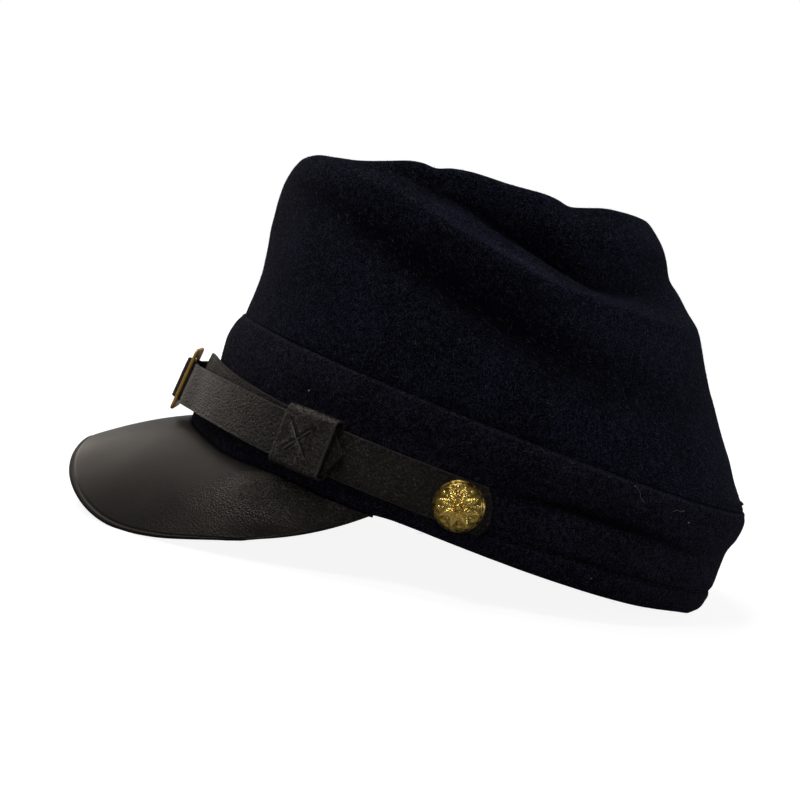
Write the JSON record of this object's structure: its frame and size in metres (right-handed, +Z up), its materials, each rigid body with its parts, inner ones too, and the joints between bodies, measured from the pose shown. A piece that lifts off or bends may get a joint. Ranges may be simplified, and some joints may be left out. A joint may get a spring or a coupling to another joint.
{
  "type": "kepi cap",
  "caption": "Wool forage cap with a slack folded crown, sloping leather peak and buckled chin strap, resting on a surface by itself.",
  "frame": {"origin": "on the surface the cap rests on, under the middle of its bounding box", "axes": "+Z up, -Y towards the front, where the peak is, and +X towards the wearer's left"},
  "size_m": [0.1926, 0.2666, 0.1471],
  "materials": {
    "crown_wool": "fulled navy wool with a short nap",
    "band_wool": "fulled navy wool, stitched hem",
    "peak_leather": "black enamelled leather, worn satin, with a creased edge",
    "strap_leather": "black waxed leather with a burnished edge line",
    "brass": "aged brass, rubbed bright on the high spots"
  },
  "bodies": {
    "root": {"band": "band_wool", "crown_side": "crown_wool", "crown_top": "crown_wool", "peak": "peak_leather", "strap_left": "strap_leather", "strap_right": "strap_leather", "keeper": "strap_leather", "buckle": "brass", "button_left": "brass", "button_right": "brass"}
  },
  "joints": []
}
